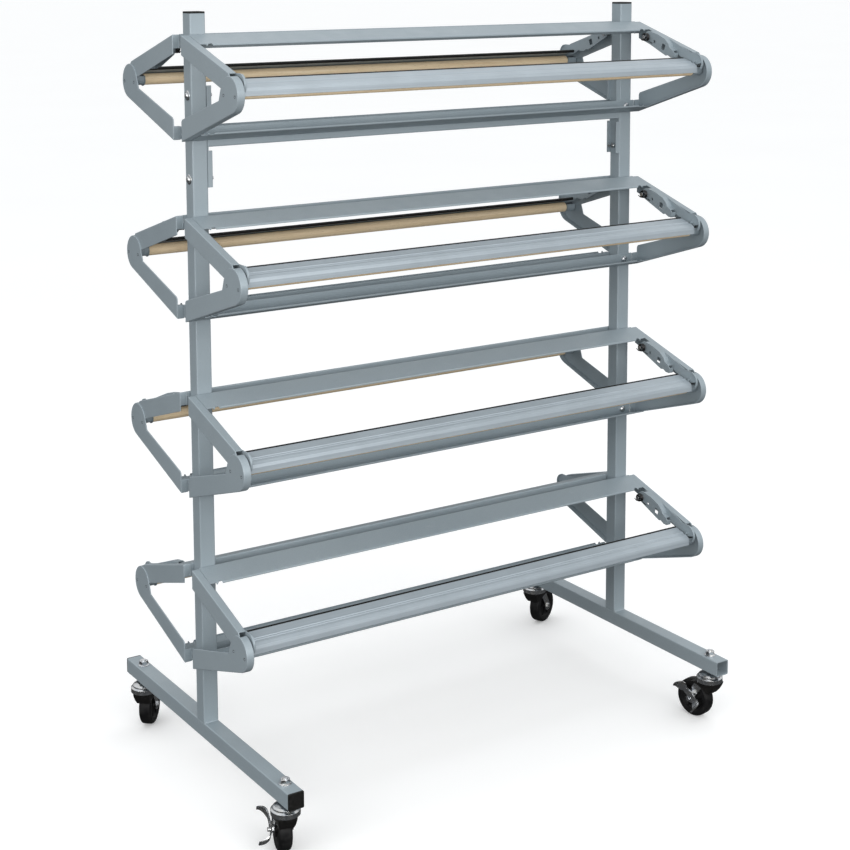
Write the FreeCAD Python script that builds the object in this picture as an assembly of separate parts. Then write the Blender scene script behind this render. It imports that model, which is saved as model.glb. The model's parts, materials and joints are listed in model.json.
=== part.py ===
import FreeCAD, Part
import math
import os

# Mobile roll rack: a two-post frame on swivel casters that holds eight rolls, four on each side.
# Every roll place has two V-shaped brackets, two rails, a wooden roll dowel in open cradles, and two
# arms that press an aluminium cutter bar on the roll. One arm is a raised lever with a spring beside it,
# the other is flat, and the rear places are the front ones turned half a turn about the upright axis.
# Millimetres. X runs along the rolls, -Y is the front, Z is up, the floor is Z = 0.
# Everything is drawn about the middle between the two posts. A swivelled caster reaches out further on
# one side than on the other, so each node is moved by TO_ORIGIN as it is saved, which puts the origin
# in the middle of the floor rectangle that the whole rack covers.
# A roll place is drawn once for the front: "out" is the distance forward of the posts' centre plane,
# and "up" is the height above the place's own top line.

V = FreeCAD.Vector
X_AXIS = V(1, 0, 0)
Y_AXIS = V(0, 1, 0)
Z_AXIS = V(0, 0, 1)
ORIGIN = V(0, 0, 0)

# ---- driving dimensions -------------------------------------------------------------------------
TO_ORIGIN = V(-18.6, -7.6, 0.0)
TUBE = 40.0                 # square tube of posts, feet and brace
TUBE_WALL = 2.0
TUBE_CORNER = 3.0
POST_X = 650.0              # post centre planes
FOOT_BOTTOM = 141.0         # caster height
FOOT_TOP = FOOT_BOTTOM + TUBE
FOOT_HALF = 450.0
RACK_TOP = 1928.0           # over the post caps
CAP = 4.5                   # cap rim thickness

TOP_LINE = 1874.3           # top line of the highest roll place
PITCH = 431.5               # from one roll place to the next
LEVELS = 4

SLOPE = math.tan(math.radians(17.0))
PLACE_HEIGHT = 250.0        # a bracket's height at the post
ARM_BACK = 22.6             # a bracket's back edge
ARM_WIDTH = 46.5            # a bracket arm's vertical width
SHEET = 2.5                 # bracket plate
OUTER_FACE = 698.6          # outer face of the lower plate, with its disc
ARM_ANGLE = 17.9            # slope of the lower arm's bottom edge, in degrees
LOWER_ARM_WIDTH = 52.0
NOSE_OUT = 273.0            # centre of the disc
NOSE_UP = -124.3
NOSE_R = 43.0
LOWER_FLANGE_IN = 680.0     # how far inboard the lower plate's flange reaches
UPPER_FLANGE_IN = 677.0
UPPER_END = 266.0           # front end of the upper plate's top flange
LOWER_FLANGE_START = 282.0  # where the disc's own flange starts, past a short gap

RAIL_SHEET = 2.0
RAIL_BACK = TUBE / 2 + 0.1
RAIL_FRONT = 86.5
RAIL_WEB = 34.0
RAIL_LIP = 4.5
RAIL_RISE = 1.3             # how far a rail stands over the bracket's top line
RAIL_HALF = 676.5
LIP_HALF = 660.0
NOTCH_X = 650.0
NOTCH_R = 7.0

DOWEL_R = 14.0
DOWEL_OUT = 270.0           # axis of the roll dowel and its cradles
DOWEL_UP = -121.5
DOWEL_HALF = 663.0
JOURNAL_R = 11.4
JOURNAL_HALF = 690.0
JOURNAL_GAP = 0.05          # between the wood and the journal plugs
CRADLE_IN_R = 11.5
CRADLE_OUT_R = 13.8
CRADLE_INNER_X = 664.0

PIVOT_OUT = 106.0           # arm pivot
PIVOT_UP = -39.0
PIN_R = 4.0
PIN_PLAY = 0.05
PIN_INNER_X = 641.0         # sprung arm's pin; the flat arm's pin starts just inboard of its plate
FLAT_PIN_X = 673.5
LEVER_X = 657.0             # inner face of the lever plate
STRAP_X = 673.0             # inner face of the long outer strap
FLAT_STRAP_X = 674.0        # inner face of the flat arm
ARM_SHEET = 2.5
LEVER_END_R = 16.0
FLAT_END_R = 11.5
WINDOW_OUT = 166.5          # square window and round hole in both arms
WINDOW_UP = -64.0
SECOND_HOLE_OUT = 130.0
SECOND_HOLE_UP = -51.0
BACK_TAB = 33.0             # height of the brackets' tabs at the post
BAR_NOSE_OUT = 281.0        # round front end of the strap
BAR_NOSE_UP = -101.0
BAR_NOSE_R = 25.5
FLANGE_DEPTH = 3.0          # the strap's nose flange, towards the bar
SPRING_R = 11.0
SPRING_WIRE_R = 1.1
SPRING_TURNS = 5

BAR_HALF = 668.0
BAR_BACK_OUT = 235.0
BAR_BACK_UP = -90.0
BAR_FRONT_OUT = 289.0
BAR_LIP_TOP = -110.0
BAR_LIP_LOW = -127.0
BAR_SHEET = 3.0

BRACE_BELOW_TOP = 247.0     # cross brace centre under the highest top line
CHANNEL_TOP = 121.0
CHANNEL_LOW = 364.0
CHANNEL_DEPTH = 12.0
CHANNEL_WALL = 2.5
BOLT_R = 4.0
BRACE_BOLTS = (144.0, 344.0)
RAIL_SCREW_UP = -17.0

FRONT_STEM = 401.0          # stems, from the posts' centre plane
REAR_STEM = 388.0
STEM_R = 6.0
WHEEL_R = 51.0
WHEEL_WIDTH = 33.0
AXLE_R = 5.0
AXLE_PLAY = 0.05
TRAIL = 46.0
LEG_INSIDE = 18.5
LEG_SHEET = 3.0
CROWN_R = 35.0
CROWN_TOP = FOOT_BOTTOM - 16.3
CROWN_LOW = FOOT_BOTTOM - 31.0
BRAKE_PIN_UP = 6.0          # brake lever's pin along the lever from the axle, and out from the leg
BRAKE_PIN_OUT = 5.5
BRAKE_ASIDE = -12.0         # the lever's middle line passes in front of the axle by this much
BRAKE_PIN_R = 1.8
BRAKE_SHEET = 3.2
BRAKE_TILT = 50.0           # the lever leans this far back from upright, in degrees
# side, stem place, direction in which it trails in degrees from +X, and whether it has a brake
CASTERS = {
    "front_left": (-1, -FRONT_STEM, 72.5, True),
    "front_right": (1, -FRONT_STEM, 100.0, True),
    "rear_left": (-1, REAR_STEM, 50.0, False),
    "rear_right": (1, REAR_STEM, 24.0, False),
}


# ---- helpers ------------------------------------------------------------------------------------
def save(name, *shapes):
    """Write one node: one solid, or a group of separate solids."""
    shape = shapes[0] if len(shapes) == 1 else Part.makeCompound(list(shapes))
    shape = shape.translated(TO_ORIGIN)
    shape.exportStep("parts/" + name + ".step")
    print(name, len(shape.Solids), round(shape.Volume / 1000.0, 1), "cm3", shape.isValid())


def solid(shape):
    """The single solid of a boolean result."""
    cleaned = shape.removeSplitter()
    if len(cleaned.Solids) != 1:
        raise ValueError("expected one solid, got %d" % len(cleaned.Solids))
    return cleaned.Solids[0]


def block(x0, x1, y0, y1, z0, z1):
    return Part.makeBox(x1 - x0, y1 - y0, z1 - z0, V(x0, y0, z0))


def rod_x(radius, x0, x1, out, up):
    return Part.makeCylinder(radius, x1 - x0, V(x0, -out, up), X_AXIS)


def side_face(points, x):
    """A flat face in a plane of constant X from (out, up) points."""
    ring = [V(x, -out, up) for out, up in points]
    return Part.Face(Part.makePolygon(ring + [ring[0]]))


def side_plate(points, x0, x1):
    return side_face(points, x0).extrude(V(x1 - x0, 0, 0))


def round_edges(shape, radius, places, axis=X_AXIS, tolerance=0.2):
    """Fillet the straight edges along an axis that pass through the given points."""
    chosen = []
    for edge in shape.Edges:
        line = edge.Vertexes[-1].Point - edge.Vertexes[0].Point
        if line.Length < 1e-6 or line.cross(axis).Length > 1e-3 * line.Length:
            continue
        for place in places:
            if edge.distToShape(Part.Vertex(place))[0] < tolerance:
                chosen.append(edge)
    if not chosen:
        raise ValueError("no edge to round")
    return shape.makeFillet(radius, chosen)


def left_too(*shapes):
    """The given right-hand shapes and their left-hand copies."""
    return list(shapes) + [shape.mirror(ORIGIN, X_AXIS) for shape in shapes]


def rounded_square(size, corner, length):
    """A square bar with rounded long edges, along +Z from Z = 0, centred on the axis."""
    bar = block(-size / 2, size / 2, -size / 2, size / 2, 0, length)
    upright = [edge for edge in bar.Edges
               if abs(edge.Vertexes[0].Point.z - edge.Vertexes[-1].Point.z) > 1.0]
    return bar.makeFillet(corner, upright)


def square_tube(length):
    outer = rounded_square(TUBE, TUBE_CORNER, length)
    bore = rounded_square(TUBE - 2 * TUBE_WALL, TUBE_CORNER - TUBE_WALL, length)
    return outer.cut(bore)


def hexagon(across, height):
    points = []
    for corner in range(7):
        angle = math.radians(60 * corner)
        points.append(V(across / math.sqrt(3) * math.cos(angle), across / math.sqrt(3) * math.sin(angle), 0))
    return Part.Face(Part.makePolygon(points)).extrude(V(0, 0, height))


def turned(profile, base=ORIGIN, axis=Z_AXIS):
    """Revolve (radius, height) points about Z, then aim the axis."""
    ring = [V(radius, 0, height) for radius, height in profile]
    body = Part.Face(Part.makePolygon(ring + [ring[0]])).revolve(ORIGIN, Z_AXIS, 360)
    body.Placement = FreeCAD.Placement(base, FreeCAD.Rotation(Z_AXIS, axis))
    return body


# ---- frame --------------------------------------------------------------------------------------
def brace_bolt_heights():
    return [TOP_LINE - drop for drop in BRACE_BOLTS]


def make_post(side):
    height = RACK_TOP - CAP - FOOT_TOP
    post = square_tube(height)
    post.translate(V(side * POST_X, 0, FOOT_TOP))
    for z in brace_bolt_heights():
        hole = Part.makeCylinder(BOLT_R + 0.3, TUBE + 2, V(side * POST_X - TUBE / 2 - 1, 0, z), X_AXIS)
        post = post.cut(hole)
    for z in rail_screw_heights():
        post = post.cut(Part.makeCylinder(BOLT_R + 0.3, TUBE + 2,
                                          V(side * POST_X, -TUBE / 2 - 1, z), Y_AXIS))
    return solid(post)


def make_foot(side):
    foot = square_tube(2 * FOOT_HALF)
    foot.rotate(ORIGIN, X_AXIS, -90)
    foot.translate(V(side * POST_X, -FOOT_HALF, FOOT_BOTTOM + TUBE / 2))
    for stem_y in (-FRONT_STEM, REAR_STEM):
        foot = foot.cut(Part.makeCylinder(STEM_R + 0.3, TUBE + 2,
                                          V(side * POST_X, stem_y, FOOT_BOTTOM - 1), Z_AXIS))
    return solid(foot)


def end_cap():
    """A plastic tube cap on +Z: a thin rounded rim with a hollow plug below it."""
    rim = rounded_square(TUBE, TUBE_CORNER, CAP)
    top_edges = [edge for edge in rim.Edges if min(v.Point.z for v in edge.Vertexes) > CAP - 0.01]
    rim = rim.makeFillet(1.5, top_edges)
    plug_size = TUBE - 2 * TUBE_WALL - 0.2
    plug = rounded_square(plug_size, 1.0, 15).cut(rounded_square(plug_size - 4, 0.8, 13))
    plug.translate(V(0, 0, -15))
    return solid(rim.fuse(plug))


def make_caps():
    """Caps on both posts and on three of the four foot ends."""
    caps = []
    for side in (-1, 1):
        cap = end_cap()
        cap.translate(V(side * POST_X, 0, RACK_TOP - CAP))
        caps.append(cap)
    for side, end in ((-1, -1), (-1, 1), (1, 1)):
        cap = end_cap()
        cap.rotate(ORIGIN, X_AXIS, -90 * end)
        cap.translate(V(side * POST_X, end * FOOT_HALF, FOOT_BOTTOM + TUBE / 2))
        caps.append(cap)
    return caps


def make_brace():
    """The cross tube with a channel welded on each end, open towards the middle of the rack."""
    z = TOP_LINE - BRACE_BELOW_TOP
    face = POST_X - TUBE / 2
    tube = square_tube(2 * (face - CHANNEL_WALL))
    tube.rotate(ORIGIN, Y_AXIS, 90)
    tube.translate(V(-(face - CHANNEL_WALL), 0, z))
    brace = tube
    for side in (-1, 1):
        z0 = TOP_LINE - CHANNEL_LOW
        z1 = TOP_LINE - CHANNEL_TOP
        xs = sorted((side * face, side * (face - CHANNEL_DEPTH)))
        half = TUBE / 2
        channel = block(xs[0], xs[1], -half, half, z0, z1)
        inner = sorted((side * (face - CHANNEL_WALL), side * (face - CHANNEL_DEPTH - 1)))
        channel = channel.cut(block(inner[0], inner[1], CHANNEL_WALL - half, half - CHANNEL_WALL,
                                    z0 - 1, z1 + 1))
        gap = block(inner[0], inner[1], -half - 1, half + 1, z - half - 9, z + half + 9)
        channel = channel.cut(gap)
        for bolt_z in brace_bolt_heights():
            channel = channel.cut(Part.makeCylinder(BOLT_R + 0.3, CHANNEL_DEPTH,
                                                    V(xs[0], 0, bolt_z), X_AXIS))
        brace = brace.fuse(channel)
    return solid(brace)


def hex_bolt(shank, head_gap):
    """Bolt along +Z from its domed head at Z = 0 to a nut past head_gap."""
    head = turned([(0, -6.5), (5, -6), (8, -3.5), (9, -0.5), (9, 0), (0, 0)])
    stem = Part.makeCylinder(BOLT_R, shank)
    nut = hexagon(13, 6.5)
    nut.translate(V(0, 0, head_gap))
    return solid(head.fuse(stem).fuse(nut))


def rail_screw_heights():
    heights = []
    for level in range(LEVELS):
        top = TOP_LINE - level * PITCH
        heights += [top + RAIL_SCREW_UP, top - PLACE_HEIGHT - RAIL_SCREW_UP]
    return heights


def make_bolts():
    bolts = []
    for side in (-1, 1):
        for z in brace_bolt_heights():
            bolt = hex_bolt(TUBE + 22, TUBE + CHANNEL_WALL)
            bolt.rotate(ORIGIN, Y_AXIS, -90 * side)
            bolt.translate(V(side * (POST_X + TUBE / 2), 0, z))
            bolts.append(bolt)
        grip = TUBE + 2 * RAIL_SHEET + 0.2
        for z in rail_screw_heights():
            bolt = hex_bolt(grip + 8, grip)
            bolt.rotate(ORIGIN, X_AXIS, -90)
            bolt.translate(V(side * POST_X, -grip / 2, z))
            bolts.append(bolt)
    return bolts


# ---- one roll place -----------------------------------------------------------------------------
def upper_edge(out):
    return -SLOPE * (out - ARM_BACK)


def lower_plate():
    """The bracket's lower arm and nose disc, one pressing with a flange along its outer edge."""
    lean = math.radians(ARM_ANGLE)
    touch = (NOSE_OUT + NOSE_R * math.sin(lean), NOSE_UP - NOSE_R * math.cos(lean))
    heel = touch[1] - (touch[0] - ARM_BACK) * math.tan(lean)
    shoulder = heel + LOWER_ARM_WIDTH
    arm = [(ARM_BACK, heel), touch, (NOSE_OUT, NOSE_UP), (231.0, -112.0), (221.0, -139.5),
           (ARM_BACK, shoulder)]
    depth = OUTER_FACE - LOWER_FLANGE_IN
    disc = rod_x(NOSE_R, LOWER_FLANGE_IN, OUTER_FACE, NOSE_OUT, NOSE_UP)
    body = solid(side_plate(arm, LOWER_FLANGE_IN, OUTER_FACE).fuse(disc))
    body = round_edges(body, 10.0, [V(OUTER_FACE - depth / 2, -ARM_BACK, shoulder)])
    rim = [edge for edge in body.Edges if min(v.Point.x for v in edge.Vertexes) > OUTER_FACE - 0.01]
    body = body.makeFillet(1.8, rim)
    outline = [f for f in body.Faces if f.BoundBox.XMax < LOWER_FLANGE_IN + 0.01][0]
    hollow = outline.makeOffset2D(-SHEET).extrude(V(depth - SHEET, 0, 0))
    body = body.cut(hollow)
    # the flange follows only the lower edge, the front of the disc and a tab at the post
    open_side = [(ARM_BACK - 5, heel + BACK_TAB), (60.0, heel + BACK_TAB), (240.0, -165.0),
                 (NOSE_OUT, NOSE_UP), (LOWER_FLANGE_START, -60.0), (ARM_BACK - 5, -60.0)]
    body = body.cut(side_plate(open_side, LOWER_FLANGE_IN - 1, OUTER_FACE - SHEET))
    # two small clinch marks, where the two plates are joined through the disc
    for out in (NOSE_OUT - 26.0, NOSE_OUT + 30.0):
        body = body.cut(Part.makeSphere(3.2, V(OUTER_FACE + 1.9, -out, NOSE_UP - 1.0)))
    return solid(body)


def upper_plate():
    """The bracket's upper arm, which lies behind the disc and carries the top flange."""
    outer = OUTER_FACE - SHEET - 0.1
    arm = [(ARM_BACK, 0), (UPPER_END, upper_edge(UPPER_END)), (UPPER_END + 14, -92.0),
           (UPPER_END + 10, -120.0), (232.0, -112.5), (ARM_BACK, -ARM_WIDTH)]
    body = side_plate(arm, UPPER_FLANGE_IN, outer)
    body = round_edges(body, 2.2, [V(outer, -144.0, upper_edge(144.0))], V(0, -1, -SLOPE))
    body = round_edges(body, 2.2, [V(UPPER_FLANGE_IN + 5, -ARM_BACK, 0)])
    skin = SHEET * 1.05
    far = UPPER_END + 20
    under_flange = [(ARM_BACK + SHEET, -skin), (far, upper_edge(far) - skin), (far, -140),
                    (ARM_BACK - 1, -140), (ARM_BACK - 1, -BACK_TAB), (ARM_BACK + SHEET, -BACK_TAB)]
    body = body.cut(side_plate(under_flange, UPPER_FLANGE_IN - 1, outer - SHEET))
    ahead = side_plate([(UPPER_END, 0), (UPPER_END + 30, 0), (UPPER_END + 30, -140), (UPPER_END, -140)],
                       UPPER_FLANGE_IN - 1, outer - SHEET)
    body = body.cut(ahead)
    pin_hole = rod_x(PIN_R, UPPER_FLANGE_IN, outer - SHEET + 1.0, PIVOT_OUT, PIVOT_UP)
    return solid(body.cut(pin_hole))


def cradle():
    """Open-topped cup on the upper plate that holds the dowel's journal."""
    root = OUTER_FACE - 2 * SHEET - 0.2
    cup = rod_x(CRADLE_OUT_R, CRADLE_INNER_X, root, DOWEL_OUT, DOWEL_UP)
    rim = rod_x(CRADLE_OUT_R + 2.5, CRADLE_INNER_X, CRADLE_INNER_X + 2.0, DOWEL_OUT, DOWEL_UP)
    lip_top = DOWEL_UP + 9
    sides = block(CRADLE_INNER_X, root, -DOWEL_OUT - CRADLE_OUT_R, -DOWEL_OUT + CRADLE_OUT_R,
                  DOWEL_UP, lip_top)
    body = cup.fuse(rim).fuse(sides)
    body = body.cut(rod_x(CRADLE_IN_R, CRADLE_INNER_X - 1, root + 1, DOWEL_OUT, DOWEL_UP))
    body = body.cut(block(CRADLE_INNER_X - 1, root + 1, -DOWEL_OUT - CRADLE_IN_R, -DOWEL_OUT + CRADLE_IN_R,
                          DOWEL_UP, DOWEL_UP + 30))
    body = body.cut(block(CRADLE_INNER_X - 1, root + 1, -DOWEL_OUT - 30, -DOWEL_OUT + 30,
                          lip_top, DOWEL_UP + 30))
    return solid(body)


def make_brackets():
    return left_too(lower_plate(), upper_plate(), cradle())


def top_rail():
    """Folded rail: a web on the posts, a sloping plate and a short front lip."""
    drop = SLOPE * (RAIL_FRONT - RAIL_BACK)
    skin = RAIL_SHEET / math.cos(math.radians(17.0))
    inner_front = RAIL_FRONT - RAIL_SHEET
    section = [(RAIL_BACK, -RAIL_WEB), (RAIL_BACK, 0), (RAIL_FRONT, -drop), (RAIL_FRONT, -drop - RAIL_LIP),
               (inner_front, -drop - RAIL_LIP), (inner_front, -SLOPE * (inner_front - RAIL_BACK) - skin),
               (RAIL_BACK + RAIL_SHEET, -SLOPE * RAIL_SHEET - skin), (RAIL_BACK + RAIL_SHEET, -RAIL_WEB)]
    rail = side_plate(section, -RAIL_HALF, RAIL_HALF)
    rail = round_edges(rail, 2.6, [V(0, -RAIL_BACK, 0), V(0, -RAIL_FRONT, -drop)])
    rail.translate(V(0, 0, RAIL_RISE))
    lip_low = RAIL_RISE - drop - RAIL_LIP
    for side in (-1, 1):
        beyond = sorted((side * LIP_HALF, side * (RAIL_HALF + 1)))
        rail = rail.cut(block(beyond[0], beyond[1], -RAIL_FRONT - 1, -inner_front + 0.01,
                              lip_low - 1, lip_low + RAIL_LIP + 3))
        notch = Part.makeCylinder(NOTCH_R, 6, V(side * NOTCH_X, -RAIL_FRONT - 1, lip_low - 1), Y_AXIS)
        rail = rail.cut(notch)
        rail = rail.cut(Part.makeCylinder(BOLT_R + 0.3, 6,
                                          V(side * POST_X, -RAIL_BACK - 4, RAIL_SCREW_UP), Y_AXIS))
    return solid(rail)


def make_rails():
    top = top_rail()
    return [top, top.mirror(V(0, 0, -PLACE_HEIGHT / 2), Z_AXIS)]


def arc_points(out, up, radius, start, end, steps):
    points = []
    for step in range(steps + 1):
        angle = math.radians(start + (end - start) * step / steps)
        points.append((out + radius * math.cos(angle), up + radius * math.sin(angle)))
    return points


def nose_points():
    """The round nose that both arms share, down to where its lower edge turns back over the journal."""
    points = arc_points(BAR_NOSE_OUT, BAR_NOSE_UP, BAR_NOSE_R, 80, -40, 12)
    points += arc_points(BAR_NOSE_OUT, BAR_NOSE_UP, BAR_NOSE_R - 6.0, -40, 0, 5)
    return points + [(284.0, -105.5), (258.0, -105.5), (240.0, -100.0), (224.0, -90.0)]


def bar_seat(strap_x):
    """A narrow flange round the front of the bar, and a plug into the bar's screw port."""
    flange = arc_points(BAR_NOSE_OUT, BAR_NOSE_UP, BAR_NOSE_R, 75, -40, 12)
    flange += arc_points(BAR_NOSE_OUT, BAR_NOSE_UP, BAR_NOSE_R - 2.2, -40, 75, 12)
    return [side_plate(flange, strap_x - FLANGE_DEPTH, strap_x + ARM_SHEET),
            rod_x(3.4, BAR_HALF, strap_x + 0.5, 276.0, -98.0)]


def arm_holes(x0, x1):
    window = block(x0, x1, -7.0, 7.0, -8.0, 8.0)
    window.rotate(ORIGIN, X_AXIS, 17.0)
    window.translate(V(0, -WINDOW_OUT, WINDOW_UP))
    return rod_x(4.2, x0, x1, SECOND_HOLE_OUT, SECOND_HOLE_UP).fuse(window)


def raised_arm():
    """Pressed arm: a lever plate with the pivot, raised inboard from the long strap that holds the bar."""
    heel = arc_points(PIVOT_OUT, PIVOT_UP, LEVER_END_R, 253, 73, 12)
    ridge = [(PIVOT_OUT + 5.0, -23.7), (141.0, -29.6), (172.0, -41.6), (187.0, -54.0), (192.0, -64.0),
             (206.0, -72.0)]
    step = [(212.0, -78.0), (209.0, -92.0)]
    lever = heel + ridge[1:] + step + [(197.0, -91.0), (186.0, -85.0), (177.0, -86.5)]
    lever_plate = side_plate(lever, LEVER_X, LEVER_X + ARM_SHEET)
    strap = heel + ridge[1:3] + [(258.0, -75.0)] + nose_points() + [(206.0, -81.0), (190.0, -78.0)]
    strap_plate = side_plate(strap, STRAP_X, STRAP_X + ARM_SHEET)
    # the raised plate's upper edge folds back to the strap
    fold = ridge + [(out - 2.4, up - 1.2) for out, up in reversed(ridge)]
    web = side_plate(fold, LEVER_X, STRAP_X + ARM_SHEET)
    # the step tip folds back as well, a little lower
    tip = side_plate(step + [(out - 2.4, up + 0.4) for out, up in reversed(step)], LEVER_X, STRAP_X - 1.0)
    arm = lever_plate.fuse([strap_plate, web, tip] + bar_seat(STRAP_X))
    arm = arm.cut(rod_x(PIN_R + PIN_PLAY, LEVER_X - 1, STRAP_X + ARM_SHEET + 1, PIVOT_OUT, PIVOT_UP))
    return solid(arm.cut(arm_holes(LEVER_X - 1, LEVER_X + ARM_SHEET + 0.5)))


def flat_arm():
    """The arm at the other end of the bar: the same outline in one plane, close beside the bracket."""
    outline = arc_points(PIVOT_OUT, PIVOT_UP, FLAT_END_R, 253, 73, 12) + [(258.0, -76.0)] + nose_points()
    outline += [(209.0, -92.0), (197.0, -91.0), (186.0, -85.0), (177.0, -86.5)]
    end = FLAT_STRAP_X + ARM_SHEET
    arm = side_plate(outline, FLAT_STRAP_X, end).fuse(bar_seat(FLAT_STRAP_X))
    arm = arm.cut(rod_x(PIN_R + PIN_PLAY, FLAT_STRAP_X - 1, end + 1, PIVOT_OUT, PIVOT_UP))
    return solid(arm.cut(arm_holes(FLAT_STRAP_X - 1, end + 1)))


def make_arms():
    return [raised_arm(), flat_arm().mirror(ORIGIN, X_AXIS)]


def make_bar():
    """Aluminium cutter bar: a sloping top plate with a ridge and a rear bead, and a strip below its front."""
    def top(out):
        return BAR_BACK_UP - 0.29 * (out - BAR_BACK_OUT)

    section = [(BAR_BACK_OUT, top(235)), (262.0, top(262)), (263.0, top(263) + 1.4), (266.0, top(266) + 1.4),
               (267.0, top(267)), (271.0, top(271)), (271.8, top(271.8) - 1.3), (274.2, top(274.2) - 1.3),
               (275.0, top(275) + 0.6), (281.0, top(281) + 0.4), (BAR_FRONT_OUT, top(281) - 4.5),
               (BAR_FRONT_OUT + 0.6, BAR_LIP_TOP), (BAR_FRONT_OUT - 2.0, BAR_LIP_TOP),
               (284.5, top(284.5) - 5.0), (BAR_BACK_OUT + 3, top(238) - BAR_SHEET),
               (BAR_BACK_OUT, top(235) - BAR_SHEET)]
    bar = side_plate(section, -BAR_HALF, BAR_HALF)
    bead = rod_x(3.6, -BAR_HALF, BAR_HALF, BAR_BACK_OUT + 1.0, top(235) - 3.4)
    bar = bar.fuse(bead)
    bar = bar.cut(rod_x(1.9, -BAR_HALF - 1, BAR_HALF + 1, BAR_BACK_OUT + 1.0, top(235) - 3.4))
    seam = BAR_LIP_TOP - JOURNAL_GAP
    strip = [(BAR_FRONT_OUT + 0.6, seam), (BAR_FRONT_OUT + 1.8, -115.0), (BAR_FRONT_OUT + 2.2, BAR_LIP_LOW),
             (BAR_FRONT_OUT - 0.4, BAR_LIP_LOW), (BAR_FRONT_OUT - 1.0, -115.0), (BAR_FRONT_OUT - 2.0, seam)]
    return [solid(bar), side_plate(strip, -BAR_HALF, BAR_HALF)]


def make_dowel():
    """The wooden dowel, and a journal plug on each end that turns in the cradles."""
    dowel = rod_x(DOWEL_R, -DOWEL_HALF, DOWEL_HALF, DOWEL_OUT, DOWEL_UP)
    ends = [edge for edge in dowel.Edges if edge.Closed]
    journal = rod_x(JOURNAL_R, DOWEL_HALF + JOURNAL_GAP, JOURNAL_HALF, DOWEL_OUT, DOWEL_UP)
    return [dowel.makeFillet(2.0, ends)] + left_too(journal)


def arm_pin(inner_x, plate_end, head_r):
    """Pivot pin with its head inboard and a collar between the arm and the bracket."""
    root = OUTER_FACE - 2 * SHEET - 0.15
    pin = rod_x(PIN_R, inner_x, root + 0.95, PIVOT_OUT, PIVOT_UP)
    head = rod_x(head_r, inner_x - 2.2, inner_x, PIVOT_OUT, PIVOT_UP)
    collar = rod_x(6.5, plate_end + 0.3, root, PIVOT_OUT, PIVOT_UP)
    return solid(pin.fuse(head).fuse(collar))


def arm_pivots():
    sprung = arm_pin(PIN_INNER_X, STRAP_X + ARM_SHEET, 5.5)
    flat = arm_pin(FLAT_PIN_X, FLAT_STRAP_X + ARM_SHEET, 6.0)
    return [sprung, flat.mirror(ORIGIN, X_AXIS)]


def arm_spring():
    """Torsion spring round the raised arm's pin, drawn as touching rings of wire."""
    pitch = 2 * SPRING_WIRE_R + 0.15
    coils = []
    for turn in range(SPRING_TURNS):
        x = PIN_INNER_X + 1.4 + turn * pitch
        coils.append(Part.makeTorus(SPRING_R - SPRING_WIRE_R, SPRING_WIRE_R,
                                    V(x, -PIVOT_OUT, PIVOT_UP), X_AXIS))
    sleeve = rod_x(SPRING_R - SPRING_WIRE_R, PIN_INNER_X + 0.3, PIN_INNER_X + SPRING_TURNS * pitch + 0.3,
                   PIVOT_OUT, PIVOT_UP)
    spring = sleeve.fuse(coils)
    return solid(spring.cut(rod_x(PIN_R + 0.3, PIN_INNER_X - 1, LEVER_X + 2, PIVOT_OUT, PIVOT_UP)))


def place(shapes, side, level):
    """Put a front roll place's shapes on a side and a level."""
    moved = []
    for shape in shapes:
        copy = shape.copy()
        if side == "rear":
            copy.rotate(ORIGIN, Z_AXIS, 180)
        copy.translate(V(0, 0, TOP_LINE - level * PITCH))
        moved.append(copy)
    return moved


# ---- casters, drawn trailing towards +X with the stem on the Z axis --------------------------------
def caster_stem():
    """Threaded stem with its fixed upper race, and the flange nut on top of the foot."""
    race_low = CROWN_TOP + 0.3
    cup = turned([(0, FOOT_BOTTOM), (10, FOOT_BOTTOM), (10, FOOT_BOTTOM - 5), (19, FOOT_BOTTOM - 6.5),
                  (26, FOOT_BOTTOM - 9.5), (30, FOOT_BOTTOM - 13), (30, race_low), (0, race_low)])
    stem = Part.makeCylinder(STEM_R, TUBE + 16, V(0, 0, FOOT_BOTTOM - 1))
    flange = turned([(0, FOOT_TOP), (14.8, FOOT_TOP), (14.8, FOOT_TOP + 1.4), (12, FOOT_TOP + 3.0),
                     (0, FOOT_TOP + 3.0)])
    nut = hexagon(21, 12)
    nut.translate(V(0, 0, FOOT_TOP + 1))
    crown = turned([(0, FOOT_TOP), (10.0, FOOT_TOP), (12.3, FOOT_TOP + 5), (12.3, FOOT_TOP + 10.5),
                    (10.3, FOOT_TOP + 13), (0, FOOT_TOP + 13)])
    nut = nut.common(crown)
    return solid(cup.fuse([stem, flange, nut]))


def leg_plate():
    """One fork leg: wide under the crown, with a concave front edge, round at the axle."""
    top = CROWN_LOW + 3.0
    heel_x = CROWN_R - 8.0
    heel_end = V(TRAIL - 13, 0, WHEEL_R + 4)
    tip_end = V(TRAIL + 13, 0, WHEEL_R + 3)
    heel = Part.Arc(V(-heel_x, 0, top), V(4, 0, top - 18), heel_end).toShape()
    tip = Part.Arc(heel_end, V(TRAIL + 1, 0, WHEEL_R - 13), tip_end).toShape()
    back = Part.makeLine(tip_end, V(heel_x, 0, top))
    close = Part.makeLine(V(heel_x, 0, top), V(-heel_x, 0, top))
    face = Part.Face(Part.Wire([heel, tip, back, close]))
    return face.extrude(V(0, LEG_SHEET, 0))


def lean_back(shape):
    """Set a brake piece, drawn upright with its middle line through the axle, aside and at its real lean."""
    shape.translate(V(BRAKE_ASIDE, 0, 0))
    shape.rotate(V(TRAIL, 0, WHEEL_R), Y_AXIS, BRAKE_TILT)
    return shape


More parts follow.
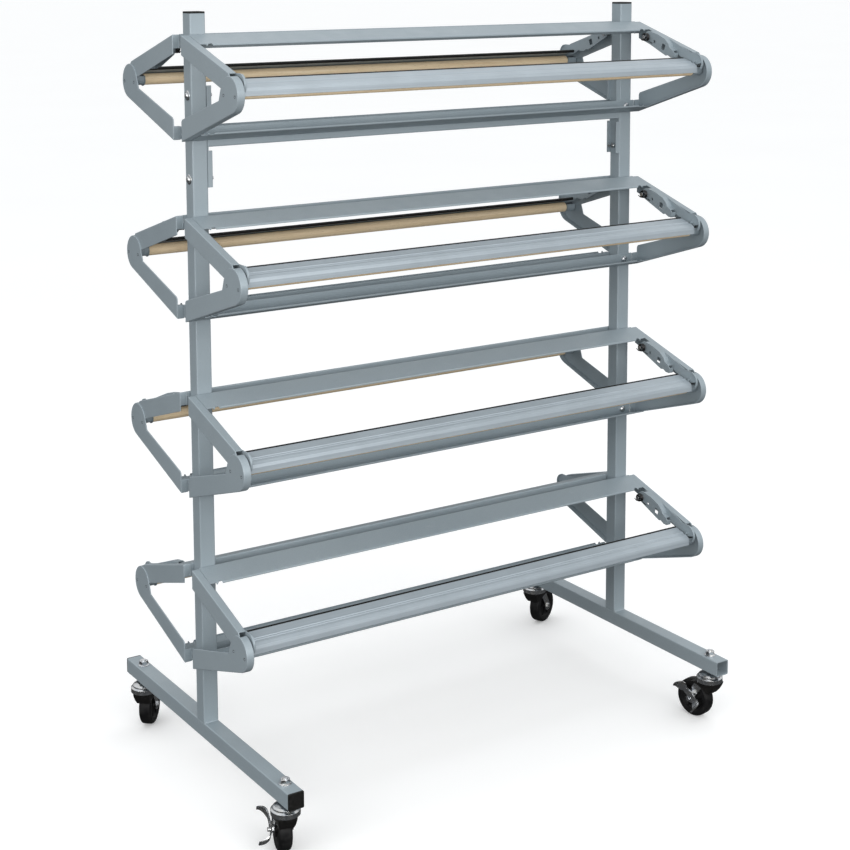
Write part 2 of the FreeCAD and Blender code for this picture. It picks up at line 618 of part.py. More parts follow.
def caster_fork(braked):
    wall = CROWN_R - LEG_SHEET
    crown = turned([(0, CROWN_TOP), (CROWN_R - 4, CROWN_TOP), (CROWN_R, CROWN_TOP - 3), (CROWN_R, CROWN_LOW),
                    (wall, CROWN_LOW), (wall, CROWN_TOP - 4.5), (0, CROWN_TOP - 3.5)])
    near = leg_plate()
    near.translate(V(0, LEG_INSIDE, 0))
    far = leg_plate()
    far.translate(V(0, -LEG_INSIDE - LEG_SHEET, 0))
    parts = [near, far]
    y = LEG_INSIDE + LEG_SHEET
    for side in (-1, 1):
        ys = sorted((side * LEG_INSIDE, side * y))
        reach = math.sqrt(wall ** 2 - y ** 2) + 0.5
        parts.append(block(-reach, reach, ys[0], ys[1], CROWN_LOW + 2.0, CROWN_TOP - 3.6))
        nut = hexagon(14, 4.5)
        nut.rotate(ORIGIN, X_AXIS, -90 * side)
        nut.translate(V(TRAIL, side * y, WHEEL_R))
        parts.append(nut)
    parts.append(Part.makeCylinder(AXLE_R, 2 * y + 9, V(TRAIL, -y - 4.5, WHEEL_R), Y_AXIS))
    if braked:
        # a base plate, two lugs and a pin outside the near leg carry the brake lever, on a longer axle
        pin_z = WHEEL_R + BRAKE_PIN_UP
        for x0, x1 in ((-11.8, -9.3), (9.3, 11.8)):
            lug = block(TRAIL + x0, TRAIL + x1, y - 0.5, y + BRAKE_PIN_OUT + 3.5, pin_z - 4, pin_z + 4)
            parts.append(lean_back(lug))
        base = block(TRAIL - 11.8, TRAIL + 11.8 - BRAKE_ASIDE, y - 0.5, y + 1.0, pin_z - 6, pin_z + 6)
        parts.append(lean_back(base))
        pin = Part.makeCylinder(BRAKE_PIN_R, 23.6, V(TRAIL - 11.8, y + BRAKE_PIN_OUT, pin_z), X_AXIS)
        parts.append(lean_back(pin))
        parts.append(Part.makeCylinder(AXLE_R, 13, V(TRAIL, y, WHEEL_R), Y_AXIS))
    return solid(crown.fuse(parts))


def caster_wheel():
    half = WHEEL_WIDTH / 2
    one_side = [(AXLE_R + AXLE_PLAY, half + 1.5), (11, half + 1.5), (12, half - 2), (33, half - 5),
                (38, half - 1), (46, half), (49, half - 2.5), (WHEEL_R, half - 8)]
    section = one_side + [(radius, -across) for radius, across in reversed(one_side)]
    return solid(turned(section, V(TRAIL, 0, WHEEL_R), Y_AXIS))


def brake_lever():
    """Rocker lever on the outside of the leg: a foot tab above and one below, both turned outwards."""
    y = LEG_INSIDE + LEG_SHEET
    pin_z = WHEEL_R + BRAKE_PIN_UP
    path = [(y + 33, WHEEL_R + 49), (y + 24, WHEEL_R + 47), (y + 16, WHEEL_R + 40), (y + 10.5, WHEEL_R + 26),
            (y + 9.0, WHEEL_R + 6), (y + 9.0, WHEEL_R - 8), (y + 12, WHEEL_R - 20), (y + 23, WHEEL_R - 30),
            (y + 39, WHEEL_R - 33)]
    outer = [V(0, out, up) for out, up in path]
    inner = []
    for index, point in enumerate(outer):
        along = outer[min(index + 1, len(outer) - 1)] - outer[max(index - 1, 0)]
        normal = V(0, along.z, -along.y)
        normal.normalize()
        inner.append(point + normal * BRAKE_SHEET)
    curves = []
    for points in (outer, inner):
        curve = Part.BSplineCurve()
        curve.interpolate(points)
        curves.append(curve.toShape())
    ends = [Part.makeLine(outer[end], inner[end]) for end in (0, -1)]
    slab = Part.Face(Part.Wire([curves[0], ends[1], curves[1], ends[0]])).extrude(V(30, 0, 0))
    slab.translate(V(-15, 0, 0))
    # seen from the side, two round tabs joined by a narrower strap
    outline = Part.makeCylinder(14.5, 80, V(0, y, WHEEL_R + 38), Y_AXIS)
    outline = outline.fuse([Part.makeCylinder(14.0, 80, V(0, y, WHEEL_R - 24), Y_AXIS),
                            block(-8.8, 8.8, y, y + 80, WHEEL_R - 24, WHEEL_R + 38)])
    knuckle = Part.makeCylinder(4.0, 17.6, V(-8.8, y + BRAKE_PIN_OUT, pin_z), X_AXIS)
    lever = slab.common(outline).fuse(knuckle)
    lever = lever.cut(Part.makeCylinder(BRAKE_PIN_R + PIN_PLAY, 40, V(-20, y + BRAKE_PIN_OUT, pin_z), X_AXIS))
    lever = lever.cut(Part.makeCylinder(AXLE_R + 1.8, 30, V(-BRAKE_ASIDE, y, WHEEL_R), Y_AXIS))
    # and clear of the axle nut while it rocks
    lever = lever.cut(Part.makeCylinder(10.2, 6.4, V(-BRAKE_ASIDE, y, WHEEL_R), Y_AXIS))
    lever.translate(V(TRAIL, 0, 0))
    return lean_back(solid(lever))


def on_corner(shape, name):
    x_side, stem_y, heading, braked = CASTERS[name]
    copy = shape.copy()
    copy.rotate(ORIGIN, Z_AXIS, heading)
    copy.translate(V(x_side * POST_X, stem_y, 0))
    return copy


# ---- write every node ---------------------------------------------------------------------------
def build_frame():
    for name, side in (("left", -1), ("right", 1)):
        save(name + "_post", make_post(side))
        save(name + "_foot", make_foot(side))
    save("tube_caps", *make_caps())
    save("cross_brace", make_brace())
    save("frame_bolts", *make_bolts())


def build_roll_places():
    sets = {"brackets": make_brackets(), "rails": make_rails(), "cutter_arms": make_arms(),
            "cutter_bar": make_bar(), "roll_dowel": make_dowel()}
    pins = arm_pivots()
    springs = [arm_spring()]
    all_pins = []
    all_springs = []
    for side in ("front", "rear"):
        for level in range(LEVELS):
            for name, shapes in sets.items():
                save("%s_%d_%s" % (side, level + 1, name), *place(shapes, side, level))
            all_pins += place(pins, side, level)
            all_springs += place(springs, side, level)
    save("arm_pivots", *all_pins)
    save("arm_springs", *all_springs)


def build_casters():
    stems = []
    for name, (x_side, stem_y, heading, braked) in CASTERS.items():
        stems.append(on_corner(caster_stem(), name))
        save(name + "_caster_fork", on_corner(caster_fork(braked), name))
        save(name + "_caster_wheel", on_corner(caster_wheel(), name))
        if braked:
            save(name + "_brake_lever", on_corner(brake_lever(), name))
    save("caster_stems", *stems)


os.makedirs("parts", exist_ok=True)
build_frame()
build_roll_places()
build_casters()
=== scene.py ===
import json
import math
import bmesh
import bpy
from mathutils import Matrix, Vector


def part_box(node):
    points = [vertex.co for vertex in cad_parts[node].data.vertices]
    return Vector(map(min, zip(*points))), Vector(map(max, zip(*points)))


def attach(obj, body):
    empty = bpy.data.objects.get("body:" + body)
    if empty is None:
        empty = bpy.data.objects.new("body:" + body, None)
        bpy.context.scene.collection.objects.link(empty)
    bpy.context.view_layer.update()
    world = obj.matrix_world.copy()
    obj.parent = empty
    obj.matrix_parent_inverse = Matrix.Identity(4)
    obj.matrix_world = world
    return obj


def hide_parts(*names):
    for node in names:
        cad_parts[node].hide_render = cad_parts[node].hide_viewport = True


# Looks for the mobile roll rack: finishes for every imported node, and the pieces that are too fine for
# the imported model. Metres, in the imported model's own frame.

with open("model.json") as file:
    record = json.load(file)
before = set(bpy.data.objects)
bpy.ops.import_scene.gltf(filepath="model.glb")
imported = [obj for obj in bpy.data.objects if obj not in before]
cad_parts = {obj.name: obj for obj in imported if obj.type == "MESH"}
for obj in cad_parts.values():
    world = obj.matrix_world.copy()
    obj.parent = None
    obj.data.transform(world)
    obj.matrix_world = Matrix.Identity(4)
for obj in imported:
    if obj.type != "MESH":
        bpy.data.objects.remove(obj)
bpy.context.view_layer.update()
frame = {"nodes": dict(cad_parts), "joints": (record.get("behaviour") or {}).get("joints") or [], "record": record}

SIDES = (("front", -1), ("rear", 1))
LEVELS = (1, 2, 3, 4)
CORNERS = ("front_left", "front_right", "rear_left", "rear_right")
JOINTS = {joint["name"]: joint for joint in frame["joints"]}


# ---- shader helpers -----------------------------------------------------------------------------
class Shader:
    """A new material with a Principled surface, and short ways to add nodes to it."""

    def __init__(self, name, metallic, roughness):
        self.material = bpy.data.materials.new(name)
        self.material.use_nodes = True
        self.tree = self.material.node_tree
        self.surface = self.tree.nodes["Principled BSDF"]
        self.surface.inputs["Metallic"].default_value = metallic
        self.surface.inputs["Roughness"].default_value = roughness
        self.place = self.tree.nodes.new("ShaderNodeTexCoord").outputs["Object"]

    def link(self, source, target):
        self.tree.links.new(source, target)

    def stretched(self, scale):
        node = self.tree.nodes.new("ShaderNodeMapping")
        node.inputs["Scale"].default_value = scale
        self.link(self.place, node.inputs["Vector"])
        return node.outputs["Vector"]

    def noise(self, scale, detail=4.0, distortion=0.0, place=None):
        node = self.tree.nodes.new("ShaderNodeTexNoise")
        node.inputs["Scale"].default_value = scale
        node.inputs["Detail"].default_value = detail
        node.inputs["Distortion"].default_value = distortion
        self.link(place or self.place, node.inputs["Vector"])
        return node.outputs["Fac"]

    def ramp(self, value, stops):
        node = self.tree.nodes.new("ShaderNodeValToRGB")
        elements = node.color_ramp.elements
        while len(elements) < len(stops):
            elements.new(0.5)
        for element, (position, colour) in zip(elements, stops):
            element.position = position
            element.color = (*colour, 1.0)
        self.link(value, node.inputs["Fac"])
        return node.outputs["Color"]

    def grey_ramp(self, value, low, high, start=0.3, end=0.7):
        return self.ramp(value, [(start, (low,) * 3), (end, (high,) * 3)])

    def mix(self, share, first, second, mode="MIX"):
        node = self.tree.nodes.new("ShaderNodeMix")
        node.data_type = "RGBA"
        node.blend_type = mode
        if isinstance(share, float):
            node.inputs["Factor"].default_value = share
        else:
            self.link(share, node.inputs["Factor"])
        self.link(first, node.inputs[6])
        self.link(second, node.inputs[7])
        return node.outputs[2]

    def colour(self, value):
        self.link(value, self.surface.inputs["Base Color"])

    def roughness(self, value):
        self.link(value, self.surface.inputs["Roughness"])

    def math(self, operation, value, number=0.0):
        node = self.tree.nodes.new("ShaderNodeMath")
        node.operation = operation
        self.link(value, node.inputs[0])
        node.inputs[1].default_value = number
        return node.outputs["Value"]

    def from_middle(self, middle):
        """Distance along X from the middle of the rack."""
        node = self.tree.nodes.new("ShaderNodeSeparateXYZ")
        self.link(self.place, node.inputs["Vector"])
        return self.math("ABSOLUTE", self.math("SUBTRACT", node.outputs["X"], middle))

    def soft_edges(self, radius):
        """Shade folded and cut edges as if they had a small radius."""
        node = self.tree.nodes.new("ShaderNodeBevel")
        node.samples = 4
        node.inputs["Radius"].default_value = radius
        self.link(node.outputs["Normal"], self.surface.inputs["Normal"])

    def bump(self, heights, depth, strength=1.0):
        """Add one layer of relief over the layers that are already there."""
        node = self.tree.nodes.new("ShaderNodeBump")
        node.inputs["Strength"].default_value = strength
        node.inputs["Distance"].default_value = depth
        self.link(heights, node.inputs["Height"])
        normal = self.surface.inputs["Normal"]
        if normal.is_linked:
            self.link(normal.links[0].from_socket, node.inputs["Normal"])
        self.link(node.outputs["Normal"], normal)


# ---- materials ----------------------------------------------------------------------------------
def grey_paint():
    """Silver-grey powder coat: orange peel, faint clouds, small nibs and a few pale scuffs."""
    s = Shader("grey_paint", 0.15, 0.42)
    clouds = s.ramp(s.noise(2.3, 3.0), [(0.32, (0.300, 0.358, 0.392)), (0.70, (0.335, 0.392, 0.424))])
    grain = s.ramp(s.noise(650.0, 2.0), [(0.30, (0.91, 0.91, 0.91)), (0.72, (1.05, 1.05, 1.05))])
    painted = s.mix(1.0, clouds, grain, "MULTIPLY")
    scuffs = s.grey_ramp(s.noise(9.0, 9.0, 1.6, s.stretched((1.0, 1.0, 7.0))), 0.0, 0.14, 0.63, 0.78)
    pale = s.ramp(s.noise(40.0), [(0.3, (0.46, 0.50, 0.52)), (0.7, (0.56, 0.59, 0.60))])
    s.colour(s.mix(scuffs, painted, pale))
    s.roughness(s.grey_ramp(s.noise(22.0, 5.0), 0.36, 0.50))
    s.soft_edges(0.0012)
    s.bump(s.noise(420.0, 2.0), 0.00012, 0.55)
    s.bump(s.noise(1500.0, 2.0), 0.00004, 0.40)
    return s.material


def black_plastic():
    """Moulded cap plastic with a fine spark-eroded grain and a slight greyish bloom."""
    s = Shader("black_plastic", 0.0, 0.48)
    s.surface.inputs["Specular IOR Level"].default_value = 0.25
    bloom = s.noise(160.0, 7.0)
    s.colour(s.ramp(bloom, [(0.35, (0.005, 0.005, 0.0045)), (0.62, (0.011, 0.0105, 0.010)),
                            (0.75, (0.022, 0.021, 0.019))]))
    s.roughness(s.grey_ramp(bloom, 0.40, 0.60))
    s.bump(s.noise(1900.0, 3.0), 0.00006, 0.7)
    return s.material


def zinc():
    """Bright zinc plate with a faint blue and straw tint and small dull patches."""
    s = Shader("zinc", 1.0, 0.2)
    tint = s.noise(55.0, 4.0, 0.8)
    s.colour(s.ramp(tint, [(0.30, (0.52, 0.55, 0.59)), (0.52, (0.63, 0.64, 0.65)),
                           (0.75, (0.60, 0.58, 0.53))]))
    s.roughness(s.grey_ramp(s.noise(130.0, 6.0), 0.14, 0.32))
    s.soft_edges(0.0008)
    s.bump(s.noise(700.0, 3.0), 0.00003, 0.5)
    return s.material


def spring_steel():
    """Oil-blackened spring wire, a little lighter where it is worn."""
    s = Shader("spring_steel", 0.85, 0.38)
    s.colour(s.ramp(s.noise(240.0, 4.0), [(0.3, (0.020, 0.020, 0.022)), (0.75, (0.085, 0.082, 0.080))]))
    s.roughness(s.grey_ramp(s.noise(400.0), 0.28, 0.48))
    s.bump(s.noise(1300.0), 0.00003, 0.5)
    return s.material


def aluminium():
    """Extruded bar: die lines along its length and a satin, slightly blue surface."""
    s = Shader("aluminium", 0.25, 0.42)
    lines = s.noise(1.0, 3.0, 0.0, s.stretched((0.9, 620.0, 620.0)))
    shade = s.ramp(lines, [(0.30, (0.370, 0.425, 0.465)), (0.70, (0.415, 0.470, 0.508))])
    clouds = s.ramp(s.noise(14.0, 5.0), [(0.3, (0.94, 0.94, 0.94)), (0.7, (1.03, 1.03, 1.03))])
    s.colour(s.mix(1.0, shade, clouds, "MULTIPLY"))
    s.roughness(s.grey_ramp(lines, 0.32, 0.46))
    s.soft_edges(0.0006)
    s.bump(lines, 0.00003, 0.6)
    return s.material


def wood(middle):
    """Sanded beech dowel with soft growth rings, short dark flecks and pores, and its grey journal plugs."""
    s = Shader("wood", 0.0, 0.56)
    grain = s.noise(1.0, 7.0, 0.6, s.stretched((5.0, 190.0, 190.0)))
    tone = s.ramp(grain, [(0.28, (0.840, 0.640, 0.400)), (0.50, (0.915, 0.730, 0.485)),
                          (0.74, (0.950, 0.790, 0.560))])
    bands = s.ramp(s.noise(1.0, 3.0, 0.3, s.stretched((1.6, 60.0, 60.0))),
                   [(0.35, (0.93, 0.91, 0.88)), (0.65, (1.03, 1.02, 1.01))])
    tone = s.mix(1.0, tone, bands, "MULTIPLY")
    flecks = s.grey_ramp(s.noise(1.0, 2.0, 0.0, s.stretched((75.0, 760.0, 760.0))), 0.0, 0.40, 0.61, 0.70)
    brown = s.ramp(s.noise(30.0), [(0.3, (0.36, 0.215, 0.10)), (0.7, (0.44, 0.28, 0.14))])
    plug = s.ramp(s.noise(180.0, 5.0), [(0.35, (0.055, 0.062, 0.068)), (0.70, (0.085, 0.094, 0.100))])
    on_plug = s.math("GREATER_THAN", s.from_middle(middle), WOOD_HALF_LENGTH)
    s.colour(s.mix(on_plug, s.mix(flecks, tone, brown), plug))
    s.roughness(s.grey_ramp(grain, 0.66, 0.50))
    s.bump(grain, 0.00010, 0.5)
    s.bump(flecks, -0.00005, 0.4)
    return s.material


def wheel_rubber():
    """Black moulded wheel, a little dusty where the noise is high."""
    s = Shader("wheel_rubber", 0.0, 0.5)
    s.surface.inputs["Specular IOR Level"].default_value = 0.22
    dust = s.noise(60.0, 9.0, 0.5)
    s.colour(s.ramp(dust, [(0.40, (0.0045, 0.0045, 0.005)), (0.66, (0.012, 0.012, 0.012)),
                           (0.82, (0.045, 0.043, 0.040))]))
    s.roughness(s.grey_ramp(dust, 0.42, 0.66))
    s.bump(s.noise(800.0, 4.0), 0.00010, 0.5)
    return s.material


def studio_floor():
    """Pale plain floor with hardly visible clouds."""
    s = Shader("studio_floor", 0.0, 0.85)
    s.colour(s.ramp(s.noise(0.6, 2.0), [(0.3, (0.945, 0.945, 0.94)), (0.7, (0.96, 0.96, 0.955))]))
    s.surface.inputs["Emission Color"].default_value = (1.0, 1.0, 1.0, 1.0)
    s.surface.inputs["Emission Strength"].default_value = 0.12
    return s.material


def middle_x():
    """Middle of the rack along X."""
    low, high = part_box("cross_brace")
    return (low.x + high.x) / 2


WOOD_HALF_LENGTH = 0.66303      # where a dowel's wood ends and its journal plugs start
FINISHES = {"grey_paint": grey_paint(), "black_plastic": black_plastic(), "zinc": zinc(),
            "spring_steel": spring_steel(), "aluminium": aluminium(), "wood": wood(middle_x()),
            "wheel_rubber": wheel_rubber()}


def finish_nodes():
    """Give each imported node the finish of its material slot."""
    for subpart in frame["record"]["subparts"]:
        node = frame["nodes"][subpart["node"]]
        node.data.materials.clear()
        node.data.materials.append(FINISHES[subpart["material_slot"]])


# ---- mesh helpers -------------------------------------------------------------------------------
def new_piece(name, mesh, body, slot):
    """Turn a bmesh into a piece with its finish, riding on a body."""
    data = bpy.data.meshes.new(name)
    bmesh.ops.recalc_face_normals(mesh, faces=mesh.faces)
    mesh.to_mesh(data)
    mesh.free()
    piece = bpy.data.objects.new(name, data)
    bpy.context.scene.collection.objects.link(piece)
    data.materials.append(FINISHES[slot])
    data.shade_smooth()
    data.set_sharp_from_angle(angle=math.radians(32))
    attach(piece, body)
    return piece


def add_lathe(mesh, profile, placement, steps=64):
    """Revolve (radius, height) points about local Y as a closed ring of quads."""
    rings = []
    for step in range(steps):
        angle = 2 * math.pi * step / steps
        ring = []
        for radius, height in profile:
            point = Vector((radius * math.cos(angle), height, radius * math.sin(angle)))
            ring.append(mesh.verts.new(placement @ point))
        rings.append(ring)
    count = len(profile)
    for step in range(steps):
        near, far = rings[step], rings[(step + 1) % steps]
        for index in range(count):
            after = (index + 1) % count
            mesh.faces.new((near[index], near[after], far[after], far[index]))


def add_prism(mesh, outline, depth, placement):
    """Extrude an outline of (x, z) points along local Y from -depth/2 to depth/2."""
    ends = []
    for y in (-depth / 2, depth / 2):
        ends.append([mesh.verts.new(placement @ Vector((x, y, z))) for x, z in outline])
    count = len(outline)
    for index in range(count):
        after = (index + 1) % count
        mesh.faces.new((ends[0][index], ends[0][after], ends[1][after], ends[1][index]))
    mesh.faces.new(list(reversed(ends[0])))
    mesh.faces.new(ends[1])


def add_ball(mesh, centre, radius):
    shape = Matrix.Translation(centre) @ Matrix.Diagonal((radius, radius, radius, 1.0))
    bmesh.ops.create_icosphere(mesh, subdivisions=2, radius=1.0, matrix=shape)


def arc(centre_x, centre_y, radius, start, end, steps):
    """Points on an arc, angles in degrees."""
    points = []
    for step in range(steps + 1):
        angle = math.radians(start + (end - start) * step / steps)
        points.append((centre_x + radius * math.cos(angle), centre_y + radius * math.sin(angle)))
    return points


def along_x(x, y, z):
    """Placement that turns local Y into X."""
    return Matrix.Translation((x, y, z)) @ Matrix(((0, 1, 0, 0), (-1, 0, 0, 0), (0, 0, 1, 0), (0, 0, 0, 1)))


# ---- springs ------------------------------------------------------------------------------------
SPRING_RADIUS = 0.0098
SPRING_WIRE = 0.0011
SPRING_LENGTH = 0.0118
SPRING_TURNS = 5


def spring_route(outer_x, inboard, forward, y, z):
    """A torsion spring: a leg on the arm, the coil round the pin, and a leg back to the rail."""
    route = []
    per_turn = 20
    steps = SPRING_TURNS * per_turn
    coil_length = SPRING_LENGTH - 2 * SPRING_WIRE
    for step in range(steps + 1):
        angle = 2 * math.pi * step / per_turn
        x = outer_x + inboard * (SPRING_WIRE + coil_length * step / steps)
        across = forward * SPRING_RADIUS * math.sin(angle)
        route.append(Vector((x, y + across, z - SPRING_RADIUS * math.cos(angle))))
    lead = Vector((0.0, forward * 0.020, -0.006))
    tail = Vector((0.0, -forward * 0.016, 0.001))
    return [route[0] + lead] + route + [route[-1] + tail * 0.5, route[-1] + tail + Vector((0, 0, 0.004))]


def make_springs():
    """One curve with the eight torsion springs in it."""
    curve = bpy.data.curves.new("torsion_springs", "CURVE")
    curve.dimensions = "3D"
    curve.bevel_depth = SPRING_WIRE
    curve.bevel_resolution = 3
    curve.use_fill_caps = True
    low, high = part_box("arm_springs")
    for side, forward in SIDES:
        for level in LEVELS:
            pivot = JOINTS["%s_%d_cutter_lift" % (side, level)]["pos_m"]
            # the sprung arm is on the right of a front place, and so on the left of a rear one
            outer_x = high.x if side == "front" else low.x
            route = spring_route(outer_x, forward, forward, pivot[1], pivot[2])
            spline = curve.splines.new("POLY")
            spline.points.add(len(route) - 1)
            for point, place in zip(spline.points, route):
                point.co = (*place, 1.0)
    piece = bpy.data.objects.new("torsion_springs", curve)
    bpy.context.scene.collection.objects.link(piece)
    curve.materials.append(FINISHES["spring_steel"])
    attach(piece, "frame")
    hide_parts("arm_springs")


# ---- cutter bars --------------------------------------------------------------------------------
BEAD_RADIUS = 0.0036        # the bar's rear bead, which the rubber edging covers
EDGING_RADIUS = 0.0042
BEAD_DROP = 0.0034          # from the bar's top to the middle of its bead
SCREW_RADIUS = 0.0046
SCREW_OUT = 0.170           # from the lift pivot to the screws: outward
SCREW_DROP = 0.0595         # and down


def make_bar_edging(side, forward, level):
    """Black rubber edging pushed over the bar's rear bead."""
    low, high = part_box("%s_%d_cutter_bar" % (side, level))
    near_y = high.y if forward < 0 else low.y
    y = near_y + forward * BEAD_RADIUS
    z = high.z - BEAD_DROP
    start, end = low.x + 0.001, high.x - 0.001
    profile = [(0.0010, start), (EDGING_RADIUS, start), (EDGING_RADIUS, end), (0.0010, end)]
    mesh = bmesh.new()
    add_lathe(mesh, profile, along_x(0.0, y, z), 20)
    new_piece("%s_%d_bar_edging" % (side, level), mesh, "%s_%d_cutter" % (side, level), "black_plastic")


def make_arm_screws(side, forward, level):
    """Pan-head screws with a round recess that hold the bar in its two arms."""
    arms_low, arms_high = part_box("%s_%d_cutter_arms" % (side, level))
    pivot = JOINTS["%s_%d_cutter_lift" % (side, level)]["pos_m"]
    y = pivot[1] + forward * SCREW_OUT
    z = pivot[2] - SCREW_DROP
    mesh = bmesh.new()
    for face_x, outward in ((arms_low.x, -1), (arms_high.x, 1)):
        place = along_x(face_x, y, z) @ Matrix.Diagonal((1, outward, 1, 1))
        profile = [(0.0007, -0.0004), (SCREW_RADIUS, -0.0004), (SCREW_RADIUS, 0.0008), (0.0041, 0.0018),
                   (0.0031, 0.0024), (0.0018, 0.0026), (0.0016, 0.0010), (0.0007, 0.0010)]
        add_lathe(mesh, profile, place, 28)
    new_piece("%s_%d_arm_screws" % (side, level), mesh, "%s_%d_cutter" % (side, level), "zinc")


# ---- casters ------------------------------------------------------------------------------------
WHEEL_HALF_WIDTH = 0.0165
WHEEL_WEBS = 6
SHADE_BLOCK_DROP = 0.0146         # from the top of the fork to the top of the painted-shade block
SHADE_BLOCK_DEPTH = 0.032
SHADE_BLOCK_WIDTH = 0.0640
TREAD_GAP = 0.0022


def wheel_place(corner):
    """Local X along the trail, local Y along the axle, local Z up."""
    joint = JOINTS[corner + "_wheel_spin"]
    axle = Vector(joint["axis"])
    up = Vector((0, 0, 1))
    trail = axle.cross(up)
    turn = Matrix((trail, axle, up)).transposed().to_4x4()
    return Matrix.Translation(joint["pos_m"]) @ turn


def make_wheel(corner):
    """Moulded wheel: crowned tread, dished sides with six webs, and a hub with a bearing seat."""
    low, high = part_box(corner + "_caster_wheel")
    radius = (high.z - low.z) / 2
    half = WHEEL_HALF_WIDTH
    place = wheel_place(corner)
    mesh = bmesh.new()
    side = [(0.0053, half + 0.0014), (0.0085, half + 0.0014), (0.0095, half + 0.0004),
            (0.0115, half + 0.0004), (0.0125, half - 0.0040), (0.0290, half - 0.0070),
            (0.0320, half - 0.0055), (0.0345, half - 0.0012), (0.0400, half - 0.0004), (0.0450, half)]
    side += arc(radius - 0.0065, half - 0.0070, 0.0063, 72, 8, 6)
    crown = [(radius, half - 0.0125), (radius, 0.0)]
    upper = side + crown
    profile = upper + [(r, -h) for r, h in reversed(upper[:-1])]
    add_lathe(mesh, profile, place, 96)
    for face in (-1, 1):
        for web in range(WHEEL_WEBS):
            turn = Matrix.Rotation(2 * math.pi * web / WHEEL_WEBS, 4, "Y")
            shape = [(0.0115, -0.0011), (0.0325, -0.0014), (0.0325, 0.0014), (0.0115, 0.0011)]
            step = Matrix.Translation((0, face * (half - 0.0068), 0))
            add_prism(mesh, shape, 0.0082, place @ turn @ step)
    piece = new_piece(corner + "_moulded_wheel", mesh, corner + "_wheel", "wheel_rubber")
    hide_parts(corner + "_caster_wheel")


def make_crown_shade_block(corner):
    """Black block right under the crown, ahead of the wheel: painted shade that stands for the fork's legs in
    shadow there; as wide as the crown, narrower below.
    """
    fork_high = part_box(corner + "_caster_fork")[1]
    swivel = Vector(JOINTS[corner + "_swivel"]["pos_m"])
    wheel = wheel_place(corner)
    trail = (wheel.translation - swivel).to_2d().length
    place = Matrix.Translation((swivel.x, swivel.y, 0)) @ wheel.to_3x3().to_4x4()
    radius = wheel.translation.z
    top = fork_high.z - SHADE_BLOCK_DROP
    clear = radius + TREAD_GAP
    inner = []
    for drop in (0.0, 0.006, 0.012, 0.018, 0.024, SHADE_BLOCK_DEPTH):
        z = top - drop
        reach = clear ** 2 - (z - radius) ** 2
        inner.append((trail - math.sqrt(reach) if reach > 0 else 0.012, z))
    outer = [(-0.0310, top), (-0.0305, top - 0.004), (-0.0270, top - 0.012), (-0.0210, top - 0.022),
             (-0.0120, top - SHADE_BLOCK_DEPTH - 0.001)]
    mesh = bmesh.new()
    add_prism(mesh, outer + list(reversed(inner)), SHADE_BLOCK_WIDTH, Matrix.Identity(4))
    for vertex in mesh.verts:
        down = (top - vertex.co.z) / SHADE_BLOCK_DEPTH
        ahead = max(0.0, -vertex.co.x) / 0.031
        vertex.co.y *= (1.0 - 0.42 * down) * (1.0 - 0.30 * ahead ** 2)
    bmesh.ops.transform(mesh, matrix=place, verts=mesh.verts)
    bmesh.ops.bevel(mesh, geom=list(mesh.edges), offset=0.0012, segments=2, affect="EDGES")
    # the black plastic here is painted shade: a dark piece where the fork's legs are only in shadow
    new_piece(corner + "_crown_shade_block", mesh, corner + "_fork", "black_plastic")


# ---- welds, clinch marks and washers ------------------------------------------------------------
WELD_STEP = 0.0030
POST_WELD = 0.0034          # thickness of the beads at the posts
RAIL_WELD = 0.0021          # and at the rails
BACK_TAB = 0.033            # height of the brackets' tabs, which the rails are welded to


def add_weld(mesh, start, end, thickness):
    """A bead from start to end, as a row of overlapping ripples."""
    run = end - start
    count = int(run.length / WELD_STEP)
    for step in range(count + 1):
        ripple = 1.0 + 0.09 * math.sin(step * 2.4)
        add_ball(mesh, start + run * (step / count), thickness * ripple)


def make_post_welds():
    """Beads across the front and the back of each post, where it stands on its foot."""
    mesh = bmesh.new()
    for post in ("left_post", "right_post"):
        low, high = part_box(post)
        for y in (low.y, high.y):
            start = Vector((low.x + 0.005, y, low.z))
            end = Vector((high.x - 0.005, y, low.z))
            add_weld(mesh, start, end, POST_WELD)
    new_piece("post_welds", mesh, "frame", "grey_paint")


def make_rail_welds(side, forward, level):
    """Beads between the rails' ends and the brackets' tabs."""
    rails_low, rails_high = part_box("%s_%d_rails" % (side, level))
    brackets_low, brackets_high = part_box("%s_%d_brackets" % (side, level))
    near_y = brackets_high.y if forward < 0 else brackets_low.y
    y = near_y + forward * 0.0006
    mesh = bmesh.new()
    for end_x, outward in ((rails_low.x, -1), (rails_high.x, 1)):
        x = end_x + outward * 0.0016
        for z in (brackets_low.z + 0.003, brackets_high.z - BACK_TAB + 0.002):
            add_weld(mesh, Vector((x, y, z)), Vector((x, y, z + BACK_TAB - 0.006)), RAIL_WELD)
    new_piece("%s_%d_rail_welds" % (side, level), mesh, "frame", "grey_paint")


CLINCH_DROP = 0.1253        # how far the clinch marks are under the bracket's top line
CLINCHES = (0.2470, 0.3030)     # and from the middle of the posts


def make_clinch_shade_rings(side, forward, level):
    """Two clinch marks on each bracket's disc: a dark ring round each pressed button, painted shade that stands
    for the shadow in the gap round it.
    """
    low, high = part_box("%s_%d_brackets" % (side, level))
    post_low, post_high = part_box("left_post")
    middle_y = (post_low.y + post_high.y) / 2
    mesh = bmesh.new()
    profile = [(0.0026, -0.0005), (0.0037, -0.0005), (0.0036, 0.0003), (0.0027, 0.0003)]
    for face_x, outward in ((low.x, -1), (high.x, 1)):
        for out in CLINCHES:
            place = along_x(face_x, middle_y + forward * out, high.z - CLINCH_DROP)
            add_lathe(mesh, profile, place @ Matrix.Diagonal((1, outward, 1, 1)), 24)
    # the dark spring_steel finish on these rings is painted shade, for the shadowed gap round each clinch
    new_piece("%s_%d_clinch_shade_rings" % (side, level), mesh, "frame", "spring_steel")


BRACE_BOLTS = (0.023, 0.020)    # the bolts' distance from the channels' top and bottom


